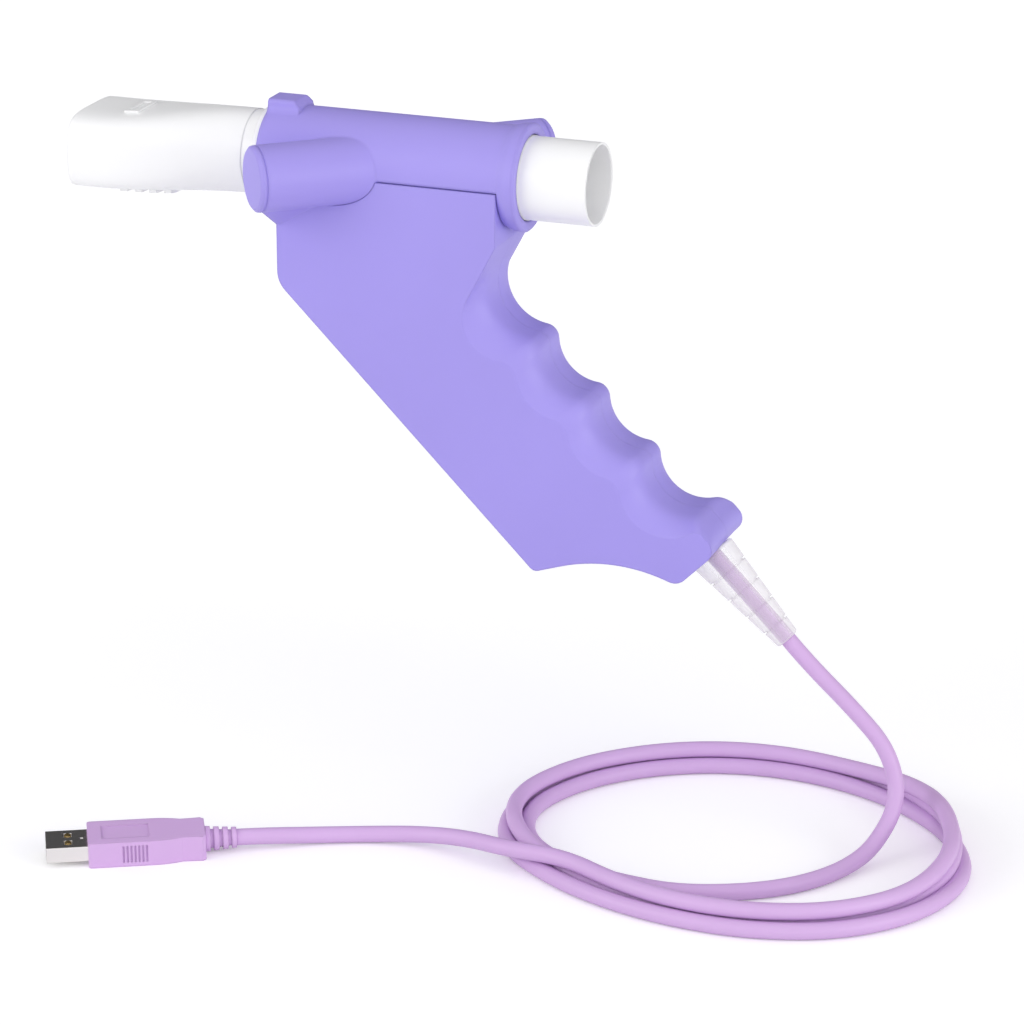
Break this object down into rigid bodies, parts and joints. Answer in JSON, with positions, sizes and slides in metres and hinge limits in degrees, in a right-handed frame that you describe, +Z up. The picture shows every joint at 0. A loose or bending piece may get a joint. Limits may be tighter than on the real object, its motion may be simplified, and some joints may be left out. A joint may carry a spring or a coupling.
{
  "type": "spirometer",
  "caption": "Handheld ultrasonic spirometer: a slide-in breathing tube with a flattened mouthpiece, a slanted handle with finger grooves, angled sensor barrels and a corded plug.",
  "frame": {"origin": "centre of the hand's grip on the handle, in the handle's middle plane", "axes": "+X along the breathing tube towards its outlet, +Y across the handle away from the nearer sensor barrel, +Z up"},
  "size_m": [0.28, 0.1518, 0.202],
  "materials": {
    "handle_plastic": "satin",
    "transducer_metal": "brushed",
    "soft_grey": "matt",
    "tube_plastic": "satin white",
    "mesh_fabric": "woven white",
    "board_laminate": "solder mask",
    "chip_plastic": "moulded",
    "connector_plastic": "moulded",
    "screw_steel": "zinc plated",
    "relief_plastic": "clear, slightly milky",
    "cord_jacket": "satin",
    "plug_plastic": "satin",
    "plug_steel": "plated",
    "tongue_plastic": "moulded",
    "contact_gold": "gold plated"
  },
  "bodies": {
    "handset": {"sensor_head": "handle_plastic", "near_cover": "handle_plastic", "far_cover": "handle_plastic", "near_cap": "handle_plastic", "far_cap": "handle_plastic", "near_transducer": "transducer_metal", "far_transducer": "transducer_metal", "near_damping_ring": "soft_grey", "far_damping_ring": "soft_grey", "near_retainer": "soft_grey", "far_retainer": "soft_grey", "main_board": "board_laminate", "board_chips": "chip_plastic", "cord_header": "connector_plastic", "transducer_headers": "connector_plastic", "housing_screws": "screw_steel", "board_screws": "screw_steel", "strain_relief": "relief_plastic", "cord_clamp": "screw_steel", "cord_core": "cord_jacket", "cord_drop": "cord_jacket", "cord_coil": "cord_jacket", "cord_run": "cord_jacket", "plug_overmould": "plug_plastic", "plug_neck": "plug_plastic", "plug_shell": "plug_steel", "plug_tongue": "tongue_plastic", "plug_contacts": "contact_gold"},
    "tube": {"breathing_tube": "tube_plastic", "near_window_mesh": "mesh_fabric", "far_window_mesh": "mesh_fabric"}
  },
  "joints": [
    {"name": "tube_slide", "type": "slide", "parent": "handset", "child": "tube", "axis": [-1, 0, 0], "range_m": [0, 0.105]}
  ]
}
